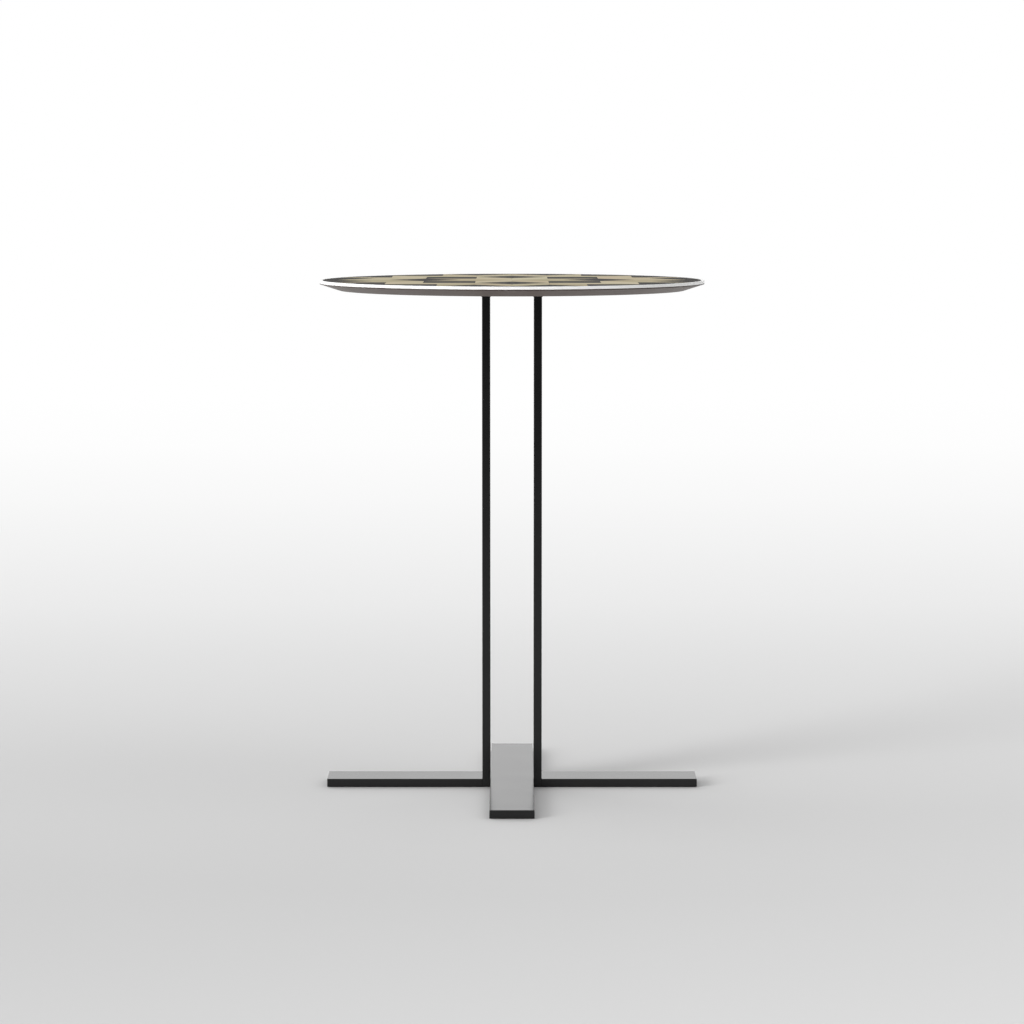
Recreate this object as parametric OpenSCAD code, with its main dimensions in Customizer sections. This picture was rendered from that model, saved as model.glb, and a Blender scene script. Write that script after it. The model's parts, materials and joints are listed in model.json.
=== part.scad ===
// Round side table: an inlaid disc top on two flat steel posts and a flat steel cross.
// Millimetres, +Z up, origin on the floor under the centre of the top.

/* [Overall] */
// Height from the floor to the face of the top
table_h = 598; // [350:1:750]
// Diameter of the top over its metal band
top_d = 450; // [380:1:700]
// Length of the cross, from leg end to leg end
foot_span = 437; // [260:1:600]

/* [Top] */
// Thickness of the top, from its inlaid face to its underside
top_h = 11.6; // [10:0.1:30]
// How far the flat underside stands in from the edge, below the bevel
bevel_inset = 22.5; // [10:0.5:60]
// Height of the metal band round the edge
band_h = 3.2; // [2.4:0.1:5]
// Height of the panel's upright edge, between the band and the bevel
land_h = 1.1; // [0.5:0.1:3]
// Thickness of the metal band, seen from above
band_w = 3.6; // [2:0.1:8]
// Clearance between the band and what it goes round
band_fit = 0.1; // [0.05:0.05:0.3]
// Thickness of the inlaid veneer pieces
veneer_t = 1.2; // [0.6:0.1:2]
// Thickness of the backing veneer on the underside
backing_t = 0.8; // [0.5:0.1:1.2]
// Width of the glue line between neighbouring veneer pieces
glue_line = 0.2; // [0.1:0.05:0.5]
// Room between the tips of the outermost lozenges and the band
tip_gap = 0.6; // [0.3:0.1:6]

/* [Steel bars] */
// Width of the flat bar of the posts, the legs and the cross bar
bar_w = 51; // [40:1:70]
// Thickness of the flat bar
bar_t = 9.5; // [8:0.5:14]
// Radius of the eased edges of the bars
edge_r = 0.3; // [0.2:0.1:1.5]

/* [Mounting plate] */
// Length of the plate, across the posts
plate_x = 180; // [140:1:220]
// Width of the plate
plate_y = 110; // [90:1:150]
// Thickness of the plate
plate_t = 5; // [4:0.5:8]
// Radius of the plate's corners
plate_corner_r = 8; // [3:1:14]
// Distance of the screws from the edges of the plate
screw_inset = 15; // [12:1:18]

/* [Screws and inserts] */
// Thread diameter of the plate screws
screw_d = 6; // [4:1:6]
// Diameter of the countersunk screw head
screw_head_d = 12; // [10:0.5:13]
// Width of the hexagon socket across its flats
socket_af = 4; // [2.5:0.5:5]
// Depth of the hexagon socket
socket_depth = 2; // [1:0.1:2.4]
// Clearance round a screw in the plate
screw_clearance = 0.3; // [0.1:0.1:0.6]
// Clearance between the thread of a screw and its insert
thread_clearance = 0.1; // [0.05:0.05:0.3]
// Outer diameter of a threaded insert, over its barbs
insert_d = 9; // [8:0.5:12]
// Depth of the barbs of an insert
barb_depth = 0.5; // [0.2:0.1:0.8]
// Clearance round an insert in the panel
insert_clearance = 0.1; // [0.05:0.05:0.3]
// Panel left above the insert holes
insert_cover = 2.4; // [2:0.1:4]
// Distance from the end of a screw to the closed end of its insert hole
screw_end_room = 1; // [0.5:0.5:2]

/* [Welds] */
// Depth of the weld grooves under the cross
groove_depth = 2; // [1:0.1:3]
// Size of the weld beads between the posts and the plate
bead = 3; // [2:0.5:5]
// Distance from the end of a weld to the edge of the bar
weld_end = 4; // [2:0.5:8]

/* [Glides] */
// Diameter of a glide
glide_d = 24; // [16:0.5:30]
// Thickness of the disc of a glide
glide_t = 3; // [2:0.1:4]
// How far a glide stands out below the bars
glide_proud = 0.6; // [0.3:0.1:1.5]
// Clearance round a glide in its recess
glide_clearance = 0.2; // [0.1:0.1:0.5]
// Distance from the middle of a glide to the end of its leg
glide_inset = 22; // [18:1:40]
// Diameter of the peg that holds a glide
peg_d = 5; // [4:0.5:8]
// Clearance round the peg in its hole
peg_clearance = 0.1; // [0.05:0.05:0.3]
// Steel left above the peg hole
peg_cover = 1.7; // [1:0.1:3]

/* [Hidden] */
$fn = 96;
// How far a cutter runs past the face that it opens
past = 1;
// The pattern repeats every eighth of a turn
step = 45;
points_of_star = 360 / step;
// Levels of the top
underside_z = table_h - top_h;
panel_bottom_z = underside_z + backing_t;
panel_top_z = table_h - veneer_t;
band_z = table_h - band_h;
land_z = band_z - land_h;
// Radii of the top
top_r = top_d / 2;
band_inner_r = top_r - band_w;
inlay_r = band_inner_r - band_fit;
underside_r = top_r - bevel_inset;
// A lozenge chain from the centre to the band is four half diagonals long
lozenge_side = (inlay_r - tip_gap) / (4 * cos(step / 2));
// Levels of the steel base
base_z = glide_proud;
plate_z = underside_z - plate_t;
post_outer_x = bar_w / 2 + bar_t;
leg_l = foot_span / 2 - post_outer_x;
// Fastening of the plate
screw_x = plate_x / 2 - screw_inset;
screw_y = plate_y / 2 - screw_inset;
head_depth = (screw_head_d - screw_d) / 2;
insert_l = top_h - veneer_t - insert_cover;
screw_l = plate_t + insert_l - screw_end_room;
insert_barbs = 3;
// Welds and glides
weld_l = bar_w - 2 * weld_end;
recess_depth = glide_t - glide_proud;
peg_hole_depth = bar_t - recess_depth - peg_cover;
peg_end_room = 0.4;
glide_place = foot_span / 2 - glide_inset;
glide_edge = 0.3;
// Colours
steel_black = [0.10, 0.10, 0.10];
weld_black = [0.14, 0.14, 0.14];
band_white = [0.92, 0.92, 0.91];
wood_tan = [0.73, 0.69, 0.59];
wood_dark = [0.34, 0.34, 0.34];
panel_brown = [0.41, 0.38, 0.37];
zinc = [0.70, 0.71, 0.72];
brass = [0.76, 0.63, 0.36];
nylon = [0.22, 0.22, 0.22];

// Unit vector at angle a in the plane of the top
function unit(a) = [cos(a), sin(a)];

// Radius of the bevelled side of the top at level z
function bevel_r(z) = underside_r + bevel_inset * (z - underside_z) / (land_z - underside_z);

// Corners of a four-sided veneer piece, drawn in by half a glue line on every side:
// corner p, with two sides of one lozenge length that leave it at angles a and b
function tile(p, a, b) = let (
    u = lozenge_side * unit(a),
    v = lozenge_side * unit(b),
    middle = p + (u + v) / 2,
    k = 1 - glue_line / (lozenge_side * sin(b - a))
) [for (q = [p, p + u, p + u + v, p + v]) middle + k * (q - middle)];

// Tip of the star between the angles a and a + step
function star_tip(a) = lozenge_side * (unit(a) + unit(a + step));

// One veneer piece, level with the face of the top
module veneer(points) {
    translate([0, 0, panel_top_z])
        linear_extrude(veneer_t)
            polygon(points);
}

// One veneer piece that the inside of the band cuts off
module cut_veneer(points) {
    translate([0, 0, panel_top_z])
        linear_extrude(veneer_t)
            intersection() {
                polygon(points);
                circle(inlay_r);
            }
}

// Places its children once for each point of the star
module round_the_star() {
    for (i = [0 : points_of_star - 1])
        rotate(i * step)
            children();
}

// Places its children at the four screws
module at_screws() {
    for (x = [-screw_x, screw_x], y = [-screw_y, screw_y])
        translate([x, y, 0])
            children();
}

// Rectangle a by b about the origin with corners of radius r
module round_rectangle(a, b, r) {
    square([a - 2 * r, b], center = true);
    square([a, b - 2 * r], center = true);
    for (x = [-1, 1], y = [-1, 1])
        translate([x * (a / 2 - r), y * (b / 2 - r)])
            circle(r, $fn = 32);
}

// Block that stands on z = 0 over the middle of size, with all twelve edges eased
module eased_block(size) {
    translate([0, 0, size.z / 2])
        intersection() {
            linear_extrude(size.z, center = true)
                round_rectangle(size.x, size.y, edge_r);
            rotate([90, 0, 0])
                linear_extrude(size.y, center = true)
                    round_rectangle(size.x, size.z, edge_r);
            rotate([90, 0, 90])
                linear_extrude(size.x, center = true)
                    round_rectangle(size.y, size.z, edge_r);
        }
}

// Triangular bar along Y under a seam at x, grown downwards by extra
module groove_weld(x, extra) {
    translate([x, 0, base_z])
        rotate([90, 0, 0])
            linear_extrude(weld_l, center = true)
                polygon([
                    [-groove_depth - extra, -extra],
                    [groove_depth + extra, -extra],
                    [0, groove_depth]
                ]);
}

// Recess and peg hole for a glide in the underside of a bar
module glide_seat() {
    translate([0, 0, base_z - past])
        cylinder(d = glide_d + 2 * glide_clearance, h = recess_depth + past);
    translate([0, 0, base_z])
        cylinder(d = peg_d + 2 * peg_clearance, h = recess_depth + peg_hole_depth);
}

// Glide: a disc with an eased lower edge and a peg on its back
module glide() {
    rotate_extrude()
        polygon([
            [0, 0],
            [glide_d / 2 - glide_edge, 0],
            [glide_d / 2, glide_edge],
            [glide_d / 2, glide_t],
            [peg_d / 2, glide_t],
            [peg_d / 2, glide_t + peg_hole_depth - peg_end_room],
            [0, glide_t + peg_hole_depth - peg_end_room]
        ]);
}

// Post on the side of the cross bar that side names, -1 or 1
module post(side) {
    difference() {
        translate([side * (post_outer_x - bar_t / 2), 0, base_z])
            eased_block([bar_t, bar_w, plate_z - base_z]);
        groove_weld(side * post_outer_x, past);
        groove_weld(side * bar_w / 2, past);
    }
}

// Leg that runs out from the post on the side that side names
module leg(side) {
    difference() {
        translate([side * (post_outer_x + leg_l / 2), 0, base_z])
            eased_block([leg_l, bar_w, bar_t]);
        groove_weld(side * post_outer_x, past);
        translate([side * glide_place, 0, 0])
            glide_seat();
    }
}

// Core of the top, with its upright edge and reverse bevel, the rabbet for the band
// and the insert holes
module top_panel() {
    color(panel_brown)
        difference() {
            rotate_extrude()
                polygon([
                    [0, panel_bottom_z],
                    [bevel_r(panel_bottom_z), panel_bottom_z],
                    [top_r, land_z],
                    [top_r, band_z],
                    [inlay_r, band_z],
                    [inlay_r, panel_top_z],
                    [0, panel_top_z]
                ]);
            at_screws()
                translate([0, 0, underside_z])
                    cylinder(d = insert_d + 2 * insert_clearance, h = insert_l);
        }
}

// Metal band let into the upper edge of the panel
module rim_band() {
    color(band_white)
        translate([0, 0, band_z])
            difference() {
                cylinder(r = top_r, h = band_h);
                translate([0, 0, -past])
                    cylinder(r = band_inner_r, h = band_h + 2 * past);
            }
}

// Eight light lozenges round the centre, the points of the star
module star_lozenges() {
    color(wood_tan)
        round_the_star()
            veneer(tile([0, 0], 0, step));
}

// Eight dark squares between the points of the star
module inner_squares() {
    color(wood_dark)
        round_the_star()
            veneer(tile(lozenge_side * unit(0), -step, step));
}

// Eight light lozenges that carry the points of the star out to the band
module radial_lozenges() {
    color(wood_tan)
        round_the_star()
            veneer(tile(star_tip(0), 0, step));
}

// Sixteen light lozenges, one on either side of each radial lozenge
module side_lozenges() {
    color(wood_tan)
        round_the_star() {
            veneer(tile(star_tip(0), -step, 0));
            veneer(tile(star_tip(0), step, 2 * step));
        }
}

// Sixteen dark squares that the band cuts off
module border_squares() {
    color(wood_dark)
        round_the_star() {
            cut_veneer(tile(star_tip(0) + lozenge_side * unit(0), -step, step));
            cut_veneer(tile(star_tip(0) + lozenge_side * unit(step), 0, 2 * step));
        }
}

// Eight small dark wedges between the side lozenges and the band
module border_wedges() {
    color(wood_dark)
        round_the_star()
            cut_veneer(tile(star_tip(-step) + lozenge_side * (unit(0) + unit(step)), -step, step));
}

// Plain veneer under the panel that keeps it flat
module backing_veneer() {
    color(panel_brown)
        difference() {
            rotate_extrude()
                polygon([
                    [0, underside_z],
                    [underside_r, underside_z],
                    [bevel_r(panel_bottom_z), panel_bottom_z],
                    [0, panel_bottom_z]
                ]);
            at_screws()
                translate([0, 0, underside_z - past])
                    cylinder(d = insert_d + 2 * insert_clearance, h = backing_t + 2 * past);
        }
}

// Four barbed inserts for the plate screws
module threaded_inserts() {
    outer_r = insert_d / 2;
    barb_l = insert_l / insert_barbs;
    bore_r = screw_d / 2 + thread_clearance;
    color(brass)
        at_screws()
            translate([0, 0, underside_z])
                rotate_extrude()
                    polygon(concat(
                        [[bore_r, insert_l], [bore_r, 0]],
                        [for (i = [0 : insert_barbs - 1], p = [
                            [outer_r, i * barb_l],
                            [outer_r - barb_depth, (i + 1) * barb_l]
                        ]) p]
                    ));
}

// Steel plate between the posts and the top, with countersunk screw holes
module mounting_plate() {
    color(steel_black)
        difference() {
            translate([0, 0, plate_z])
                linear_extrude(plate_t)
                    round_rectangle(plate_x, plate_y, plate_corner_r);
            at_screws()
                screw_shape(screw_clearance, past, plate_t + past);
        }
}

// Countersunk screw along +Z from the underside of the plate, grown by gap on the side,
// with its head drawn out downwards by extra and its shank of length l
module screw_shape(gap, extra, l) {
    shank_r = screw_d / 2 + gap;
    head_r = screw_head_d / 2 + gap;
    translate([0, 0, plate_z])
        rotate_extrude()
            polygon([
                [0, -extra],
                [head_r + extra, -extra],
                [shank_r, head_depth],
                [shank_r, l],
                [0, l]
            ]);
}

// Four countersunk screws with hexagon sockets, from below through the plate
module plate_screws() {
    socket_r = socket_af / 2 / cos(30);
    color(zinc)
        difference() {
            at_screws()
                screw_shape(0, 0, screw_l);
            at_screws()
                translate([0, 0, plate_z - past])
                    cylinder(r = socket_r, h = socket_depth + past, $fn = 6);
        }
}

// Weld beads on both faces of each post, under the plate
module plate_welds() {
    color(weld_black)
        for (side = [-1, 1], face = [-1, 1])
            translate([side * (post_outer_x - bar_t / 2) + face * bar_t / 2, 0, plate_z])
                rotate([90, 0, 0])
                    linear_extrude(weld_l, center = true)
                        polygon([[0, 0], [face * bead, 0], [0, -bead]]);
}

// Left post
module post_left() {
    color(steel_black)
        post(-1);
}

// Right post
module post_right() {
    color(steel_black)
        post(1);
}

// Left leg
module leg_left() {
    color(steel_black)
        leg(-1);
}

// Right leg
module leg_right() {
    color(steel_black)
        leg(1);
}

// Bar of the cross that runs from front to back between the posts
module cross_bar() {
    color(steel_black)
        difference() {
            translate([0, 0, base_z])
                eased_block([bar_w, foot_span, bar_t]);
            for (side = [-1, 1]) {
                groove_weld(side * bar_w / 2, past);
                translate([0, side * glide_place, 0])
                    glide_seat();
            }
        }
}

// Weld seams under the cross: legs to posts and posts to cross bar
module foot_welds() {
    color(weld_black)
        for (side = [-1, 1], x = [bar_w / 2, post_outer_x])
            groove_weld(side * x, 0);
}

// Glide under the left leg
module glide_left() {
    color(nylon)
        translate([-glide_place, 0, 0])
            glide();
}

// Glide under the right leg
module glide_right() {
    color(nylon)
        translate([glide_place, 0, 0])
            glide();
}

// Glide under the front end of the cross bar
module glide_front() {
    color(nylon)
        translate([0, -glide_place, 0])
            glide();
}

// Glide under the back end of the cross bar
module glide_back() {
    color(nylon)
        translate([0, glide_place, 0])
            glide();
}

top_panel();
rim_band();
star_lozenges();
inner_squares();
radial_lozenges();
side_lozenges();
border_squares();
border_wedges();
backing_veneer();
threaded_inserts();
mounting_plate();
plate_screws();
plate_welds();
post_left();
post_right();
leg_left();
leg_right();
cross_bar();
foot_welds();
glide_left();
glide_right();
glide_front();
glide_back();
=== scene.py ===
import bmesh
import bpy
import json
import math
import numpy as np
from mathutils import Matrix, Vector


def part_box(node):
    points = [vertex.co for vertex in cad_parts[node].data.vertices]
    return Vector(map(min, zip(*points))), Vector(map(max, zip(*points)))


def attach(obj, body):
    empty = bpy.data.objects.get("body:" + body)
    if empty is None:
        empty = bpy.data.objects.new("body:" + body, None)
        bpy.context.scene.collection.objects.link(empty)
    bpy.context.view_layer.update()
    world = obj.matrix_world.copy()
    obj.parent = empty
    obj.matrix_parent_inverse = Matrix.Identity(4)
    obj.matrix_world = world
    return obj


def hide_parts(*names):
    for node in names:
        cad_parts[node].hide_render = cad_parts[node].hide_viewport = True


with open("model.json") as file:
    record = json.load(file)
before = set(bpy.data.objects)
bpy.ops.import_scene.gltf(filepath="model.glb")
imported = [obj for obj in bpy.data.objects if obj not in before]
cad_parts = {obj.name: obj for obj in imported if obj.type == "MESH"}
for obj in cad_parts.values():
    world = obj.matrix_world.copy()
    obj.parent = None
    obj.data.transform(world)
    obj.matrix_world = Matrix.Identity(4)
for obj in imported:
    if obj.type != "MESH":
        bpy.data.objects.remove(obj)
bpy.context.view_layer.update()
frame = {"nodes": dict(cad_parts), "record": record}
cadNodes = frame["nodes"]
print("stage 1: frame loaded with", len(cadNodes), "nodes")


# Camera, set where the photograph was taken from

cameraView = {
    "distance": 3.9170,     # in front of the table's middle
    "height": 0.7311,
    "pitch": 5.925,         # degrees below level
    "lens": 117.35,
    "sensor": 36.0,
}


def addCamera(view):
    data = bpy.data.cameras.new("photoCamera")
    data.sensor_width = view["sensor"]
    data.lens = view["lens"]
    camera = bpy.data.objects.new("photoCamera", data)
    camera.location = (0.0, -view["distance"], view["height"])
    camera.rotation_euler = (math.radians(90.0 - view["pitch"]), 0.0, 0.0)
    bpy.context.scene.collection.objects.link(camera)
    bpy.context.scene.camera = camera


addCamera(cameraView)
bpy.context.scene.view_settings.view_transform = "Standard"
print("stage 2: camera set")


# Shader maths: a Wire is an output socket, and arithmetic on it adds Math nodes

class Wire:
    def __init__(self, tree, socket=None):
        self.tree = tree
        self.socket = socket

    def node(self, kind, settings, values, out=0):
        # adds a node: its settings first, then a value or a link for each input socket
        made = self.tree.nodes.new(kind)
        for name, value in settings.items():
            if name == "stops":
                fillRamp(made.color_ramp, value)
            else:
                setattr(made, name, value)
        for name, value in values.items():
            if isinstance(value, Wire):
                self.tree.links.new(value.socket, made.inputs[name])
            else:
                made.inputs[name].default_value = value
        return Wire(self.tree, made.outputs[out])

    def maths(self, operation, first, second):
        return self.node("ShaderNodeMath", {"operation": operation}, {0: first, 1: second})

    def vectorMaths(self, operation, values, out):
        return self.node("ShaderNodeVectorMath", {"operation": operation}, values, out)

    def __add__(self, other):
        return self.maths("ADD", self, other)

    def __radd__(self, other):
        return self.maths("ADD", other, self)

    def __sub__(self, other):
        return self.maths("SUBTRACT", self, other)

    def __rsub__(self, other):
        return self.maths("SUBTRACT", other, self)

    def __mul__(self, other):
        return self.maths("MULTIPLY", self, other)

    def __rmul__(self, other):
        return self.maths("MULTIPLY", other, self)

    def __truediv__(self, other):
        return self.maths("DIVIDE", self, other)

    def atLeast(self, floor):
        return self.maths("MAXIMUM", self, floor)

    def smooth(self, low, high):
        # 0 below low, 1 above high, and an eased step between them
        settings = {"interpolation_type": "SMOOTHSTEP"}
        values = {"Value": self, "From Min": low, "From Max": high}
        return self.node("ShaderNodeMapRange", settings, values)

    def blend(self, first, second):
        # a colour that goes from first to second as this value goes from 0 to 1
        return self.node("ShaderNodeMix", {"data_type": "RGBA"}, {0: self, 6: first, 7: second}, 2)

    def dot(self, other):
        return self.vectorMaths("DOT_PRODUCT", {0: self, 1: other}, "Value")

    def scaled(self, factor):
        # a colour or vector times a number
        return self.vectorMaths("SCALE", {0: self, "Scale": factor}, "Vector")

    def length(self):
        return self.vectorMaths("LENGTH", {0: self}, "Value")

    def part(self, axis):
        return self.node("ShaderNodeSeparateXYZ", {}, {0: self}, axis)

    def ramp(self, stops):
        return self.node("ShaderNodeValToRGB", {"stops": stops}, {"Fac": self}, "Color")

    def noise(self, scale, detail, roughness=0.5):
        values = {"Vector": self, "Scale": scale, "Detail": detail, "Roughness": roughness}
        return self.node("ShaderNodeTexNoise", {}, values, "Fac")

    def mapped(self, scale, place=(0.0, 0.0, 0.0)):
        # the pattern's coordinates scaled and then moved
        values = {"Vector": self, "Scale": scale, "Location": place}
        return self.node("ShaderNodeMapping", {}, values)

    def bump(self, strength, distance):
        values = {"Strength": strength, "Distance": distance, "Height": self}
        return self.node("ShaderNodeBump", {}, values)


def fillRamp(ramp, stops):
    while len(ramp.elements) < len(stops):
        ramp.elements.new(0.5)
    for element, (place, colour) in zip(ramp.elements, stops):
        element.position = place
        element.color = colour


def newMaterial(name):
    # an empty material, a loose wire to build from, its object coordinates and its output node
    material = bpy.data.materials.new(name)
    material.use_nodes = True
    tree = material.node_tree
    tree.nodes.clear()
    wire = Wire(tree)
    place = wire.node("ShaderNodeTexCoord", {}, {}, "Object")
    return material, wire, place, tree.nodes.new("ShaderNodeOutputMaterial")


def finishMaterial(wire, output, values):
    # a Principled surface: what is the same all over is set on its own socket
    surface = wire.node("ShaderNodeBsdfPrincipled", {}, values)
    wire.tree.links.new(surface.socket, output.inputs["Surface"])


def linear(red, green, blue):
    # a colour given as 0 to 255 on screen, in scene values
    def channel(value):
        share = value / 255.0
        return share / 12.92 if share <= 0.04045 else ((share + 0.055) / 1.055) ** 2.4
    return (channel(red), channel(green), channel(blue), 1.0)


def grey(level):
    return linear(level, level, level)


# Stage: a pale floor that fades to white at the back, under soft studio light

floorLook = {
    "radius": 40.0,
    "rings": 24,
    "spokes": 96,
    "fadeScale": (0.367, 1.0, 0.0),     # width counts less than depth
    "fadePlace": (-0.049, 0.373, 0.0),
    "fade": [(0.0, 216), (0.25, 214), (0.55, 216.3), (0.9, 220.3), (1.4, 226.7), (2.0, 235.3),
             (2.8, 242), (3.8, 248.3), (5.2, 253.3), (7.0, 255)],
    "tilt": 0.115,                      # how much lighter it is to the right, in front of the table
    "tiltAcross": (-0.9, 0.9),          # where it grows, along X and by distance in front
    "tiltAhead": (0.125, 0.663),
    "shadowKept": (1.2, 3.2),           # real shadows up to the first distance, none past the second
    "darkFrom": (0.6, 1.6),             # distances in front over which reflections start to find it dark
    "dark": [(0.0, 0.66), (1.6, 0.61), (2.5, 0.53), (3.6, 0.41), (5.4, 0.28), (8.0, 0.18), (13.0, 0.12)],
}

skyLook = {
    "base": 0.445,
    "frontDim": 0.67,                   # reflections find it dark low down behind the camera
    "frontTurn": (0.1, 0.6),            # how far forward and how far up a direction points there
    "frontRise": (0.12, 0.5),
    "glows": [                          # degrees round from +X and up; cosine where each one ends
        {"around": 217, "up": 16, "edge": 0.95, "strength": 14.8, "mirrored": 1.0},
        {"around": 100, "up": 0, "edge": 0.3, "strength": 1.81, "mirrored": 0.42},
        {"around": 350, "up": 35, "edge": 0.8, "strength": 0.83, "mirrored": 1.0},
        {"around": 150, "up": 0, "edge": 0.8, "strength": 1.90, "mirrored": 1.0},
    ],
}


def addFloor(look):
    # a disc on a polar grid: radius = (ring / rings) squared times the outer radius
    rings, spokes = look["rings"], look["spokes"]
    radius = np.linspace(0.0, 1.0, rings + 1)[1:] ** 2 * look["radius"]
    angle = np.arange(spokes) * 2.0 * np.pi / spokes
    flat = np.stack([radius[:, None] * np.cos(angle), radius[:, None] * np.sin(angle)], -1)
    points = np.vstack([[0.0, 0.0, 0.0], np.pad(flat.reshape(-1, 2), ((0, 0), (0, 1)))])
    around = np.arange(spokes)
    beside = (around + 1) % spokes
    middle = np.stack([np.zeros(spokes, int), around + 1, beside + 1], -1)
    low = 1 + np.arange(rings - 1)[:, None] * spokes
    quads = np.stack([low + around, low + spokes + around, low + spokes + beside, low + beside], -1)
    mesh = bpy.data.meshes.new("floor")
    mesh.from_pydata(points.tolist(), [], middle.tolist() + quads.reshape(-1, 4).tolist())
    mesh.materials.append(floorMaterial(look))
    floor = bpy.data.objects.new("floor", mesh)
    bpy.context.scene.collection.objects.link(floor)


def floorMaterial(look):
    # near the table a plain lit surface whose grey is fade * (1 + tilt * right * an eased step in front);
    # far away the fade itself; reflections see a floor that falls dark in front and behind the camera
    material, wire, place, output = newMaterial("studioFloor")
    away = place.mapped(look["fadeScale"], look["fadePlace"]).length()
    last = look["fade"][-1][0]
    fade = (away / last).ramp([(radius / last, grey(level)) for radius, level in look["fade"]])
    ahead = 0.0 - place.part("Y")
    right = place.part("X").smooth(*look["tiltAcross"]) - 0.5
    fade = fade.scaled(1.0 + look["tilt"] * right * ahead.smooth(*look["tiltAhead"]))
    last = look["dark"][-1][0]
    dark = (ahead / last).ramp([(d / last, (v, v, v, 1.0)) for d, v in look["dark"]])
    camera = wire.node("ShaderNodeLightPath", {}, {}, "Is Camera Ray")
    glossy = wire.node("ShaderNodeLightPath", {}, {}, "Is Glossy Ray")
    mirrored = glossy * ahead.smooth(*look["darkFrom"])
    shown = wire.node("ShaderNodeEmission", {}, {"Color": mirrored.blend(fade, dark), "Strength": 1.0})
    share = (away.smooth(*look["shadowKept"]) * (camera + glossy)).atLeast(mirrored)
    lit = wire.node("ShaderNodeBsdfDiffuse", {}, {"Color": fade})
    both = wire.node("ShaderNodeMixShader", {}, {0: share, 1: lit, 2: shown})
    wire.tree.links.new(both.socket, output.inputs["Surface"])
    return material


def addSky(look):
    # white to the camera; to all else a base light plus soft round glows, each of which goes from
    # nothing at its edge to full strength at its middle
    world = bpy.data.worlds.new("studio")
    bpy.context.scene.world = world
    world.use_nodes = True
    world.node_tree.nodes.clear()
    wire = Wire(world.node_tree)
    towards = wire.node("ShaderNodeTexCoord", {}, {}, "Generated")
    camera = wire.node("ShaderNodeLightPath", {}, {}, "Is Camera Ray")
    glossy = wire.node("ShaderNodeLightPath", {}, {}, "Is Glossy Ray")
    up = towards.part("Z").atLeast(0.0)
    forward = (0.0 - towards.part("Y")).smooth(*look["frontTurn"])
    front = forward * (1.0 - up.smooth(*look["frontRise"]))
    light = look["base"] * (1.0 - look["frontDim"] * glossy * front)
    for glow in look["glows"]:
        around, above = math.radians(glow["around"]), math.radians(glow["up"])
        aim = (math.cos(above) * math.cos(around), math.cos(above) * math.sin(around), math.sin(above))
        patch = towards.dot(aim).smooth(glow["edge"], 1.0)
        light = light + glow["strength"] * patch * (1.0 - (1.0 - glow["mirrored"]) * glossy)
    strength = camera + (1.0 - camera) * light
    white = (1.0, 1.0, 1.0, 1.0)
    background = wire.node("ShaderNodeBackground", {}, {"Color": white, "Strength": strength})
    output = world.node_tree.nodes.new("ShaderNodeOutputWorld")
    world.node_tree.links.new(background.socket, output.inputs["Surface"])


addFloor(floorLook)
addSky(skyLook)
print("stage 3: floor and light set")


# Finishes: each "relief" is a bump's strength and its depth in metres, and each "Edge" an eased step

steelLook = {
    "black": (0.0026, 0.0026, 0.0028, 1.0),
    "dusty": (0.0046, 0.0046, 0.0048, 1.0),
    "cloudScale": 17.0,
    "dustEdge": (0.42, 0.75),
    "smoothest": 0.15,
    "roughest": 0.22,
    "ior": 1.45,
    "coat": {"lump": 0.0016, "relief": (0.35, 0.00004)},
    "weld": {"lump": 0.0009, "relief": (0.35, 0.00012)},
}


def blackSteel(look, name, skin):
    # powder coat: black, a little dusty where a broad noise is high; roughness follows the same noise;
    # bump is a fine noise like orange peel
    material, wire, place, output = newMaterial(name)
    broad = place.noise(look["cloudScale"], detail=3.0)
    peel = place.noise(1.0 / skin["lump"], detail=2.0)
    finishMaterial(wire, output, {
        "Base Color": broad.smooth(*look["dustEdge"]).blend(look["black"], look["dusty"]),
        "Roughness": look["smoothest"] + (look["roughest"] - look["smoothest"]) * broad,
        "IOR": look["ior"],
        "Normal": peel.bump(*skin["relief"]),
    })
    return material


lightVeneerLook = {
    "pale": linear(200, 193, 166),
    "deep": linear(182, 175, 146),
    "warm": linear(190, 168, 144),
    "shade": linear(161, 150, 120),
    "pore": linear(139, 130, 102),
}

darkVeneerLook = {
    "pale": linear(81, 80, 78),
    "deep": linear(57, 56, 55),
    "warm": linear(79, 72, 65),
    "shade": linear(52, 51, 50),
    "pore": linear(43, 42, 41),
}

grainLook = {
    "fine": (22.0, 1700.0, 1.0),    # scale of each noise along and across the grain
    "band": (6.0, 210.0, 1.0),
    "pore": (70.0, 3600.0, 1.0),
    "poreEdge": (0.68, 0.78),
    "poreShare": 0.4,
    "fineShare": 0.45,
    "streakEdge": (0.34, 0.66),
    "warmEdge": (0.3, 0.7),
    "roughness": 0.86,
    "spread": 0.1,
    "gloss": 0.06,
    "relief": (0.3, 0.00004),
}


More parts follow.
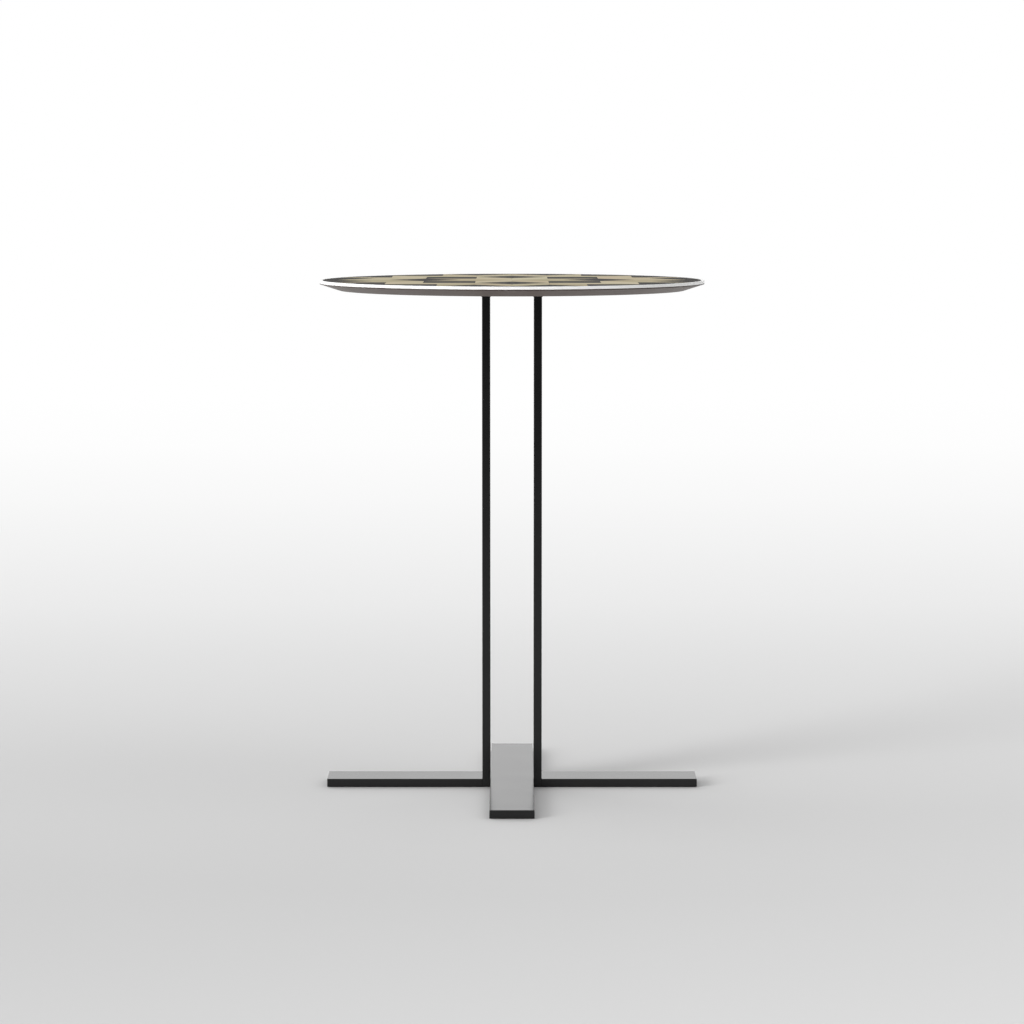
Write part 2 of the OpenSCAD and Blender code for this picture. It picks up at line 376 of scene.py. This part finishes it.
def veneer(colours, look, name):
    # straight grain along the piece's own U axis: fine streaks and broad bands are noises drawn out
    # along U; each piece has its own tone and warmth from two attributes
    material, wire, _, output = newMaterial(name)
    grain = wire.node("ShaderNodeUVMap", {"uv_map": "grain"}, {}, "UV")
    tone = wire.node("ShaderNodeAttribute", {"attribute_name": "tone"}, {}, "Fac")
    warmth = wire.node("ShaderNodeAttribute", {"attribute_name": "warmth"}, {}, "Fac")
    fine = grain.mapped(look["fine"]).noise(1.0, detail=3.0)
    band = grain.mapped(look["band"]).noise(1.0, detail=2.0)
    pore = grain.mapped(look["pore"]).noise(1.0, detail=1.0).smooth(*look["poreEdge"])
    mixed = look["fineShare"] * fine + (1.0 - look["fineShare"]) * band
    plain = mixed.smooth(*look["streakEdge"]).blend(colours["deep"], colours["pale"])
    tinted = (warmth * band.smooth(*look["warmEdge"])).blend(plain, colours["warm"])
    toned = tone.blend(tinted, colours["shade"])
    finishMaterial(wire, output, {
        "Base Color": (look["poreShare"] * pore).blend(toned, colours["pore"]),
        "Roughness": look["roughness"] + look["spread"] * fine,
        "Specular IOR Level": look["gloss"],
        "Normal": (fine - pore).bump(*look["relief"]),
    })
    return material


boardLook = {
    "base": (0.0895, 0.0621, 0.0495, 1.0),
    "lighter": (0.1065, 0.0767, 0.0625, 1.0),
    "edge": (0.046, 0.031, 0.025, 1.0),
    "edgeDepth": (0.0004, 0.0001),      # in from the rim, where the darker upright edge starts and is full
    "cloudScale": 26.0,
    "cloudEdge": (0.3, 0.7),
    "stippleScale": 1500.0,
    "grainScale": (9.0, 420.0, 1.0),
    "roughness": 0.38,
    "spread": 0.08,
    "gloss": 0.28,
    "relief": (0.25, 0.00005),
    "onBoard": 0.0,                     # how much of the veneer's grain shows through
    "onVeneer": 0.7,
}


def boardPaint(look, name, grainDepth):
    # satin paint: two close browns mixed by a cloudy noise, and a darker brown on the upright edge at the
    # rim just under the band; a fine stipple in bump and roughness, and grain drawn out along X where it
    # lies on veneer
    material, wire, place, output = newMaterial(name)
    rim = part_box("rim_band")[1].x
    inner, outer = [rim - depth for depth in look["edgeDepth"]]
    edge = place.mapped((1.0, 1.0, 0.0)).length().smooth(inner, outer)
    cloud = place.noise(look["cloudScale"], detail=3.0).smooth(*look["cloudEdge"])
    stipple = place.noise(look["stippleScale"], detail=1.0)
    grain = place.mapped(look["grainScale"]).noise(1.0, detail=3.0)
    height = (1.0 - grainDepth) * stipple + grainDepth * grain
    finishMaterial(wire, output, {
        "Base Color": edge.blend(cloud.blend(look["base"], look["lighter"]), look["edge"]),
        "Roughness": look["roughness"] + look["spread"] * stipple,
        "Specular IOR Level": look["gloss"],
        "Normal": height.bump(*look["relief"]),
    })
    return material


bandLook = {
    "bright": (0.96, 0.96, 0.95, 1.0),
    "wornAndShaded": (0.80, 0.80, 0.79, 1.0),
    "lineScale": 9000.0,
    "markScale": 45.0,
    "markEdge": (0.6, 0.8),
    "paintedShade": (0.11, 0.18),    # painted shade: darker towards the right, from the first X to the second, where the band turns from the light
    "shares": (0.3, 0.4, 0.6),  # of lines, marks and painted shade in its darkening
    "metallic": 0.0,
    "roughness": 0.42,
    "spread": 0.12,
    "relief": (0.1, 0.00002),
}


def bandMetal(look):
    # fine lines round the edge: noise on height and radius alone, so that it is the same all the way
    # round; its colour darkens from bright by the three shares of lines, soft marks and painted shade,
    # an eased step along X that darkens the right end where it turns away from the light
    material, wire, place, output = newMaterial("bandMetal")
    section = {
        "X": place.mapped((1.0, 1.0, 0.0)).length() * look["lineScale"],
        "Y": place.part("Z") * look["lineScale"],
    }
    lines = wire.node("ShaderNodeCombineXYZ", {}, section).noise(1.0, detail=2.0)
    marks = place.noise(look["markScale"], detail=4.0, roughness=0.6).smooth(*look["markEdge"])
    # painted shade: the right end of the band is made darker, standing in for less light falling there
    paintedShade = place.part("X").smooth(*look["paintedShade"])
    lineShare, markShare, shadeShare = look["shares"]
    marksAndShade = lineShare * lines + markShare * marks + shadeShare * paintedShade
    finishMaterial(wire, output, {
        "Base Color": marksAndShade.blend(look["bright"], look["wornAndShaded"]),
        "Metallic": look["metallic"],
        "Roughness": look["roughness"] + look["spread"] * lines,
        "Normal": lines.bump(*look["relief"]),
    })
    return material


turnedLook = {
    "cloudScale": 220.0,
    "cloudEdge": (0.35, 0.7),
    "turnScale": 6500.0,
    "spread": 0.15,
    "relief": (0.2, 0.00003),
    "brass": {"bright": (0.70, 0.52, 0.25, 1.0), "dull": (0.52, 0.38, 0.18, 1.0), "roughness": 0.28},
    "zinc": {"bright": (0.62, 0.63, 0.66, 1.0), "dull": (0.50, 0.50, 0.51, 1.0), "roughness": 0.32},
}


def turnedMetal(look, name, metal):
    # small turned metal pieces: two tones mixed by a cloudy noise, with fine turning marks along Z
    material, wire, place, output = newMaterial(name)
    cloud = place.noise(look["cloudScale"], detail=3.0).smooth(*look["cloudEdge"])
    turning = place.mapped((0.0, 0.0, 1.0)).noise(look["turnScale"], detail=1.0)
    finishMaterial(wire, output, {
        "Base Color": cloud.blend(metal["bright"], metal["dull"]),
        "Metallic": 1.0,
        "Roughness": metal["roughness"] + look["spread"] * turning,
        "Normal": turning.bump(*look["relief"]),
    })
    return material


nylonLook = {
    "darker": (0.030, 0.030, 0.031, 1.0),
    "lighter": (0.044, 0.044, 0.045, 1.0),
    "mottleScale": 160.0,
    "sparkScale": 2600.0,
    "roughness": 0.5,
    "spread": 0.15,
    "relief": (0.3, 0.00004),
}


def mouldedNylon(look):
    # near-black nylon: slight mottling and a fine spark-eroded texture, both from noise
    material, wire, place, output = newMaterial("mouldedNylon")
    spark = place.noise(look["sparkScale"], detail=2.0)
    finishMaterial(wire, output, {
        "Base Color": place.noise(look["mottleScale"], detail=2.0).blend(look["darker"], look["lighter"]),
        "Roughness": look["roughness"] + look["spread"] * spark,
        "Normal": spark.bump(*look["relief"]),
    })
    return material


finishes = {
    "black_steel": blackSteel(steelLook, "blackSteel", steelLook["coat"]),
    "weld_steel": blackSteel(steelLook, "coatedWeld", steelLook["weld"]),
    "light_veneer": veneer(lightVeneerLook, grainLook, "lightVeneer"),
    "dark_veneer": veneer(darkVeneerLook, grainLook, "darkVeneer"),
    "panel_board": boardPaint(boardLook, "boardPaint", boardLook["onBoard"]),
    "backing_veneer": boardPaint(boardLook, "paintedVeneer", boardLook["onVeneer"]),
    "band_metal": bandMetal(bandLook),
    "insert_brass": turnedMetal(turnedLook, "turnedBrass", turnedLook["brass"]),
    "screw_steel": turnedMetal(turnedLook, "zincPlate", turnedLook["zinc"]),
    "glide_nylon": mouldedNylon(nylonLook),
}

for row in frame["record"]["subparts"]:
    mesh = cadNodes[row["node"]].data
    mesh.materials.clear()
    mesh.materials.append(finishes[row["material_slot"]])
print("stage 4: finishes made")


# Surfaces from whole arrays of points

def gridFaces(rows, columns, closed):
    # quads of a grid that joins round its columns, and round its rows too where it is closed
    row = np.arange(rows if closed else rows - 1)[:, None]
    column = np.arange(columns)
    nextRow = (row + 1) % rows
    nextColumn = (column + 1) % columns
    quads = np.stack([row * columns + column, row * columns + nextColumn,
                      nextRow * columns + nextColumn, nextRow * columns + column], -1)
    return quads.reshape(-1, 4)


def loft(rings):
    # a skin over rings of points, shape (rings, points, 3), with the middle of each end ring as a pole
    rows, columns = rings.shape[:2]
    points = np.vstack([rings.reshape(-1, 3), rings[0].mean(0), rings[-1].mean(0)])
    here = np.arange(columns)
    beside = (here + 1) % columns
    start = np.stack([np.full(columns, rows * columns), beside, here], -1)
    last = (rows - 1) * columns
    end = np.stack([np.full(columns, rows * columns + 1), here + last, beside + last], -1)
    return points, gridFaces(rows, columns, False).tolist() + start.tolist() + end.tolist()


def ringLoft(rings):
    # the same for rings that close on themselves, with no poles
    return rings.reshape(-1, 3), gridFaces(rings.shape[0], rings.shape[1], True).tolist()


def revolve(profile, around):
    # rings about Z: the profile's point (r, z) goes to (r cos t, r sin t, z) at the angle t
    angle = np.arange(around) * 2.0 * np.pi / around
    radius, height = profile[:, :1], profile[:, 1:]
    level = np.broadcast_to(height, (len(profile), around))
    return np.stack([radius * np.cos(angle), radius * np.sin(angle), level], -1)


def eased(corners, radii, closed, steps=5, hold=1.3):
    # a profile whose corners are rounded: each becomes the curve (1-t)^2 a + 2t(1-t) corner + t^2 b
    # between the points a and b, one radius before and after it, and a point hold radii away on
    # either side keeps the flats beyond it flat
    corners = np.array(corners, float)
    before = np.roll(corners, 1, 0) - corners
    after = np.roll(corners, -1, 0) - corners
    before /= np.linalg.norm(before, axis=1)[:, None]
    after /= np.linalg.norm(after, axis=1)[:, None]
    reach = np.array(radii, float)[:, None, None]
    t = np.linspace(0.0, 1.0, steps)[None, :, None]
    corner = corners[:, None, :]
    start = corner + before[:, None, :] * reach
    end = corner + after[:, None, :] * reach
    curve = (1 - t) ** 2 * start + 2 * t * (1 - t) * corner + t ** 2 * end
    ahead = corner + before[:, None, :] * reach * hold
    past = corner + after[:, None, :] * reach * hold
    every = np.concatenate([ahead, curve, past], 1)
    kept = [every[i] if radii[i] > 0 else corners[i:i + 1] for i in range(len(corners))]
    if not closed:
        kept[0], kept[-1] = corners[:1], corners[-1:]
    return np.vstack(kept)


def joined(parts):
    # one set of points and faces from several
    points, faces, shift = [], [], 0
    for partPoints, partFaces in parts:
        points.append(partPoints)
        faces += [[index + shift for index in face] for face in partFaces]
        shift += len(partPoints)
    return np.vstack(points), faces


def addPiece(name, points, faces, slot, replaced, smooth=True):
    # a mesh at the origin that rides on the table and stands for its CAD nodes
    mesh = bpy.data.meshes.new(name)
    mesh.from_pydata(points.tolist(), [], faces)
    shell = bmesh.new()
    shell.from_mesh(mesh)
    bmesh.ops.recalc_face_normals(shell, faces=shell.faces)
    shell.to_mesh(mesh)
    shell.free()
    mesh.polygons.foreach_set("use_smooth", np.full(len(mesh.polygons), smooth))
    mesh.materials.append(finishes[slot])
    piece = bpy.data.objects.new(name, mesh)
    bpy.context.scene.collection.objects.link(piece)
    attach(piece, "root")
    if replaced:
        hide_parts(*replaced)
    return mesh


# Inlay: 64 veneer pieces in an eight-pointed star

inlaySizes = {
    "bandWidth": 0.0036,
    "bandFit": 0.0001,
    "tipGap": 0.0006,
    "glueLine": 0.0002,
    "arris": 0.00012,       # eased top edge of each piece
    "spokes": 72,
    "leastTurn": 0.02,      # radians between a corner's spoke and its neighbours
    "probes": 60,           # points each way across a piece, from which its middle is found
    "seed": 11,
    "grainShift": 3.0,      # each piece takes its grain from somewhere else in the leaf
    "toneSpread": 0.1,
}

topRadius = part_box("rim_band")[1].x
inlayRadius = topRadius - inlaySizes["bandWidth"] - inlaySizes["bandFit"]
lozengeSide = (inlayRadius - inlaySizes["tipGap"]) / (4.0 * math.cos(math.radians(22.5)))


def unit(degrees):
    return np.array([math.cos(math.radians(degrees)), math.sin(math.radians(degrees))])


star = lozengeSide * (unit(0) + unit(45))
starBefore = lozengeSide * (unit(-45) + unit(0))
# how far towards its darker shade each of the eight copies is, since the pieces were cut from
# different leaves
evenTones = (0.3, 0.4, 0.3, 0.35, 0.4, 0.3, 0.35, 0.3)
starTones = (0.5, 0.0, 0.1, 0.5, 0.75, 0.1, 0.3, 0.75)
radialTones = (0.3, 0.35, 0.4, 0.3, 0.5, 0.7, 0.75, 0.5)
sideTones = (0.3, 0.4, 0.3, 0.05, 0.6, 0.3, 0.5, 0.0)
otherSideTones = (0.05, 0.3, 0.4, 0.3, 0.1, 0.6, 0.3, 0.6)
# for an eighth of the pattern: corner, angles of the two sides that leave it, grain angle and tones
inlayPlan = {
    "star_lozenges": ("light_veneer", [((0.0, 0.0), 0, 45, 22.5, starTones)]),
    "inner_squares": ("dark_veneer", [(lozengeSide * unit(0), -45, 45, 0, evenTones)]),
    "radial_lozenges": ("light_veneer", [(star, 0, 45, 22.5, radialTones)]),
    "side_lozenges": ("light_veneer", [(star, -45, 0, -22.5, sideTones),
                                       (star, 45, 90, 67.5, otherSideTones)]),
    "border_squares": ("dark_veneer", [(star + lozengeSide * unit(0), -45, 45, 0, evenTones),
                                       (star + lozengeSide * unit(45), 0, 90, 45, evenTones[::-1])]),
    "border_wedges": ("dark_veneer", [(starBefore + star, -45, 45, 90, evenTones)]),
}


def tileCorners(corner, first, second, glueLine):
    # two sides of one length from a corner, all drawn in by half a glue line
    u = lozengeSide * unit(first)
    v = lozengeSide * unit(second)
    quad = np.array([corner, corner + u, corner + u + v, corner + v])
    keep = 1.0 - glueLine / (lozengeSide * math.sin(math.radians(second - first)))
    return quad.mean(0) + keep * (quad - quad.mean(0))


def tileOutline(quad, sizes):
    # distance from a tile's middle to its nearest side, or to the band where that is nearer, along
    # spokes all round; there is a spoke at every corner and wherever the band crosses a side, which is
    # where a point quad + t * side of it has a t^2 + b t + c = 0
    share = np.linspace(0.01, 0.99, sizes["probes"])
    first, second = quad[1] - quad[0], quad[3] - quad[0]
    inside = quad[0] + share[:, None, None] * first + share[None, :, None] * second
    inside = inside.reshape(-1, 2)
    middle = inside[np.linalg.norm(inside, axis=1) < inlayRadius].mean(0)
    side = np.roll(quad, -1, 0) - quad
    outward = np.stack([side[:, 1], -side[:, 0]], -1) / np.linalg.norm(side, axis=1)[:, None]
    a = (side ** 2).sum(1)
    b = 2.0 * (quad * side).sum(1)
    c = (quad ** 2).sum(1) - inlayRadius ** 2
    square = b ** 2 - 4.0 * a * c
    root = np.sqrt(np.maximum(square, 0.0))
    t = np.concatenate([(-b - root) / (2.0 * a), (-b + root) / (2.0 * a)])
    crossing = np.tile(quad, (2, 1)) + t[:, None] * np.tile(side, (2, 1))
    crossing = crossing[(t > 0.0) & (t < 1.0) & (np.tile(square, 2) > 0.0)]
    marks = np.vstack([quad, crossing]) - middle
    fixed = np.arctan2(marks[:, 1], marks[:, 0])
    spread = np.arange(sizes["spokes"]) * 2.0 * np.pi / sizes["spokes"] - np.pi
    gap = np.abs((spread[:, None] - fixed + np.pi) % (2.0 * np.pi) - np.pi).min(1)
    angle = np.sort(np.concatenate([fixed, spread[gap > sizes["leastTurn"]]]))
    way = np.stack([np.cos(angle), np.sin(angle)], -1)
    facing = way @ outward.T
    nearlyZero = 1e-9
    toSide = ((quad - middle) * outward).sum(1) / np.maximum(facing, nearlyZero)
    reach = np.where(facing > nearlyZero, toSide, np.inf).min(1)
    along = way @ middle
    toBand = -along + np.sqrt(along ** 2 - middle @ middle + inlayRadius ** 2)
    return middle, middle + np.minimum(reach, toBand)[:, None] * way


def tileRings(middle, outline, low, high, arris):
    # from the underside up the edge and round its quarter-circle arris to the face; drawn in by d, an
    # outline point p goes to middle + (1 - d / the nearest outline point's distance) * (p - middle)
    turn = np.radians([0.0, 30.0, 60.0, 90.0])
    inset = np.concatenate([[0.0], arris * (1.0 - np.cos(turn))])
    height = np.concatenate([[low], high - arris * (1.0 - np.sin(turn))])
    nearest = np.linalg.norm(outline - middle, axis=1).min()
    flat = middle + (1.0 - inset / nearest)[:, None, None] * (outline - middle)
    level = np.broadcast_to(height[:, None, None], flat.shape[:2] + (1,))
    return np.concatenate([flat, level], -1)


def addInlay(sizes):
    # each tile is turned to its eight places; a point's place in the grain is its distance from the
    # tile's middle along and across the grain, plus the tile's own shift
    chance = np.random.default_rng(sizes["seed"])
    for node, (slot, tiles) in inlayPlan.items():
        low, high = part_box(node)[0].z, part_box(node)[1].z
        parts, grains, tones, warmths = [], [], [], []
        for copy in range(8):
            turn = 45 * copy
            spin = np.stack([unit(turn), unit(turn + 90)])
            for corner, first, second, grainAngle, darker in tiles:
                quad = tileCorners(np.array(corner), first, second, sizes["glueLine"]) @ spin
                middle, outline = tileOutline(quad, sizes)
                points, faces = loft(tileRings(middle, outline, low, high, sizes["arris"]))
                parts.append((points, faces))
                along, across = unit(grainAngle + turn), unit(grainAngle + turn + 90)
                shift = chance.uniform(0.0, sizes["grainShift"], 2)
                own = points[:, :2] - middle
                grains.append(np.stack([own @ along, own @ across], -1) + shift)
                tone = darker[copy] + sizes["toneSpread"] * chance.uniform()
                tones.append(np.full(len(points), tone))
                warmths.append(np.full(len(points), chance.uniform()))
        points, faces = joined(parts)
        mesh = addPiece("inlay_" + node, points, faces, slot, [node], smooth=False)
        corners = np.empty(len(mesh.loops), int)
        mesh.loops.foreach_get("vertex_index", corners)
        grain = np.vstack(grains)[corners].ravel()
        mesh.uv_layers.new(name="grain").data.foreach_set("uv", grain)
        for name, values in (("tone", tones), ("warmth", warmths)):
            attribute = mesh.attributes.new(name, "FLOAT", "POINT")
            attribute.data.foreach_set("value", np.concatenate(values))


addInlay(inlaySizes)
print("stage 5: inlay laid")


# Metal band round the edge

bandSizes = {"easing": 0.0003, "lowEasing": 0.00008, "around": 360}


def addBand(width, sizes):
    # an eased rectangle of radius and height, carried once round
    low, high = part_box("rim_band")[0].z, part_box("rim_band")[1].z
    inner = topRadius - width
    corners = [(topRadius, low), (topRadius, high), (inner, high), (inner, low)]
    radii = [sizes["lowEasing"], sizes["easing"], sizes["easing"], sizes["lowEasing"]]
    points, faces = ringLoft(revolve(eased(corners, radii, True), sizes["around"]))
    addPiece("edge_band", points, faces, "band_metal", ["rim_band"])


addBand(inlaySizes["bandWidth"], bandSizes)
print("stage 6: band fitted")


# Glides

glideSizes = {
    "edge": 0.0008,         # rounding of the lower edge
    "easing": 0.0003,
    "backEasing": 0.0002,
    "dish": 0.00025,
    "dishFloor": 0.42,      # shares of the glide's radius
    "dishRim": 0.5,
    "thick": 0.003,
    "peg": 0.0025,
    "around": 96,
}


def addGlides(sizes):
    # a moulded disc with a rounded lower edge, a shallow dish in its face and a peg on its back
    dish, thick, peg = sizes["dish"], sizes["thick"], sizes["peg"]
    soft, back = sizes["easing"], sizes["backEasing"]
    for node in ("glide_left", "glide_right", "glide_front", "glide_back"):
        low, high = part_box(node)
        middle = (low + high) / 2.0
        outer = (high.x - low.x) / 2.0
        corners = [(0.0, dish), (outer * sizes["dishFloor"], dish), (outer * sizes["dishRim"], 0.0),
                   (outer, 0.0), (outer, thick), (peg, thick), (peg, high.z), (0.0, high.z)]
        profile = eased(corners, [0, soft, soft, sizes["edge"], back, back, soft, 0], False)
        rings = revolve(profile[1:-1], sizes["around"]) + np.array([middle.x, middle.y, 0.0])
        points, faces = loft(rings)
        addPiece(node + "_moulded", points, faces, "glide_nylon", [node])


addGlides(glideSizes)
print("stage 7: glides fitted")


# Screws with hexagon sockets, seen from below

screwSizes = {
    "places": [(0.075, 0.040), (-0.075, 0.040), (-0.075, -0.040), (0.075, -0.040)],
    "head": 0.006,              # head, shank, socket and face are radii
    "shank": 0.003,
    "headDepth": 0.003,
    "length": 0.012,
    "socket": 0.002,
    "socketDepth": 0.002,
    "leadDepth": 0.0002,        # chamfer at the mouth of the socket
    "leadWider": 1.06,
    "face": 0.0026,
    "tip": 0.0006,
    "easing": [0, 0.00015, 0.0003, 0.0002, 0],
    "around": 72,
}


def addScrews(sizes):
    # rings from the floor of the socket, over the head and up the shank; in the socket the radius at
    # the angle t is the socket's / cos(t mod 60 - 30 degrees), and outside it is round
    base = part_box("plate_screws")[0].z
    shank, length, tip = sizes["shank"], sizes["length"], sizes["tip"]
    angle = np.arange(sizes["around"]) * 2.0 * np.pi / sizes["around"]
    hexagon = sizes["socket"] / np.cos(angle % (np.pi / 3.0) - np.pi / 6.0)
    side = eased([(sizes["face"], 0.0), (sizes["head"], 0.0), (shank, sizes["headDepth"]),
                  (shank, length - tip), (shank - tip, length)], sizes["easing"], False)
    steps = [(hexagon, sizes["socketDepth"]), (hexagon, sizes["leadDepth"]),
             (sizes["leadWider"] * hexagon, 0.0)]
    steps += [(np.full(len(angle), radius), height) for radius, height in side]
    radius = np.stack([each for each, _ in steps])
    height = base + np.array([each for _, each in steps])
    level = np.broadcast_to(height[:, None], radius.shape)
    rings = np.stack([radius * np.cos(angle), radius * np.sin(angle), level], -1)
    points, faces = joined([loft(rings + np.array([x, y, 0.0])) for x, y in sizes["places"]])
    addPiece("countersunk_screws", points, faces, "screw_steel", ["plate_screws"])


addScrews(screwSizes)
print("stage 8: screws fitted")


# Weld beads: under the plate beside the posts, and in the grooves under the cross

weldSizes = {
    "length": 0.043,
    "sections": 260,
    "across": 13,
    "slowWaves": (4.3, 9.7),    # radians from the middle of a bead to its end
    "endShare": 0.1,            # what is left of a bead's size at its very end
    "bead": {"size": 0.003, "crown": 0.12, "ripple": 0.035, "pitch": 0.0021, "bow": 0.0011,
             "wander": 0.05, "ends": 0.0022},
    "seam": {"size": 0.002, "crown": 0.0, "ripple": 0.0, "pitch": 0.003, "bow": 0.0,
             "wander": 0.012, "ends": 0.0},
}


def weldRings(corner, alongX, alongZ, sizes, look, phase):
    # a section from corner + alongX to corner + alongZ with its hidden corner behind; along the seam
    # its size is 1 - ripple * (1 + cos(2 pi (y - bow sin 2t) / pitch)) / 2 + wander * (slow - 1) / 2,
    # where slow is the mean of two slow waves, and it has domed ends
    half = sizes["length"] / 2.0
    y = np.linspace(-half, half, sizes["sections"])[:, None]
    t = np.linspace(0.0, np.pi / 2.0, sizes["across"])
    bowed = y - look["bow"] * np.sin(2.0 * t)
    wave = 0.5 + 0.5 * np.cos(2.0 * np.pi * bowed / look["pitch"] + phase)
    first, second = [y / half * turns for turns in sizes["slowWaves"]]
    slow = 0.5 * np.sin(first + 2.0 * phase) + 0.5 * np.sin(second + 5.0 * phase)
    left = np.ones_like(y)
    if look["ends"]:
        left = np.clip((half - np.abs(y)) / look["ends"], 0.0, 1.0)
    dome = sizes["endShare"] + (1.0 - sizes["endShare"]) * np.sqrt(1.0 - (1.0 - left) ** 2)
    straight = 1.0 / (np.cos(t) + np.sin(t))
    reach = straight * (1.0 + look["crown"] * np.sin(2.0 * t))
    uneven = 1.0 - look["ripple"] * wave + look["wander"] * (slow - 1.0) / 2.0
    size = look["size"] * dome * reach * uneven
    section = np.cos(t)[:, None] * alongX + np.sin(t)[:, None] * alongZ
    outer = corner + size[..., None] * section
    flat = np.concatenate([np.broadcast_to(corner, (len(y), 1, 2)), outer], 1)
    depth = np.broadcast_to(y[..., None], flat.shape[:2] + (1,))
    return np.concatenate([flat[..., :1], depth, flat[..., 1:]], -1)


def addWelds(sizes):
    # beads between the plate and each face of a post, and seams at the same places under the cross
    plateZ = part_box("mounting_plate")[0].z
    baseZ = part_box("cross_bar")[0].z
    left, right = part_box("post_right")[0].x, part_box("post_right")[1].x
    beads = []
    for side in (-1.0, 1.0):
        for x, face in ((left, -1.0), (right, 1.0)):
            corner = np.array([side * x, plateZ])
            alongX, alongZ = np.array([side * face, 0.0]), np.array([0.0, -1.0])
            phase = side + 2.0 * face
            beads.append(loft(weldRings(corner, alongX, alongZ, sizes, sizes["bead"], phase)))
    points, faces = joined(beads)
    addPiece("plate_weld_beads", points, faces, "weld_steel", ["plate_welds"])
    seams = []
    for x in (-right, -left, left, right):
        corner = np.array([x, baseZ + sizes["seam"]["size"]])
        alongX, alongZ = np.array([-1.0, -1.0]), np.array([1.0, -1.0])
        seams.append(loft(weldRings(corner, alongX, alongZ, sizes, sizes["seam"], 40.0 * x)))
    points, faces = joined(seams)
    addPiece("foot_weld_seams", points, faces, "weld_steel", ["foot_welds"])


addWelds(weldSizes)
print("stage 9: welds laid")


# Coat gathered in the corners where the posts meet the legs and the cross bar

coatSizes = {
    "size": 0.0007,
    "reach": 0.0252,        # half its length from front to back
    "sections": 64,
    "across": 9,
    "wander": 0.08,
    "waves": (5.0, 90.0),   # radians of its unevenness along half its length, and for each metre of X
    "sunk": 0.0003,         # its hidden edge, down into the level face and into the upright one
    "tucked": 0.0001,
}


def coatRings(x, z, side, sizes):
    # a hollow quarter circle between an upright face at x and a level one at z, carried from front to
    # back: the point at the angle u is (x + side * size * (1 - sin u), z + size * (1 - cos u))
    y = np.linspace(-1.0, 1.0, sizes["sections"])[:, None]
    alongY, alongX = sizes["waves"]
    size = sizes["size"] * (1.0 + sizes["wander"] * np.sin(alongY * y + alongX * x))
    u = np.linspace(0.0, np.pi / 2.0, sizes["across"])
    across = x + side * size * (1.0 - np.sin(u))
    height = z + size * (1.0 - np.cos(u))
    hidden = np.full((len(y), 1), x - side * sizes["tucked"])
    across = np.concatenate([hidden, across], 1)
    height = np.concatenate([np.full((len(y), 1), z - sizes["sunk"]), height], 1)
    return np.stack([across, np.broadcast_to(y * sizes["reach"], across.shape), height], -1)


def addCoatCorners(sizes):
    # one along each upright face of the posts, on the level top of the cross
    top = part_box("cross_bar")[1].z
    left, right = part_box("post_right")[0].x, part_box("post_right")[1].x
    corners = [(-right, -1.0), (-left, 1.0), (left, -1.0), (right, 1.0)]
    points, faces = joined([loft(coatRings(x, top, side, sizes)) for x, side in corners])
    addPiece("foot_coat_corners", points, faces, "black_steel", [])


addCoatCorners(coatSizes)
print("stage 10: corners of the foot coated")
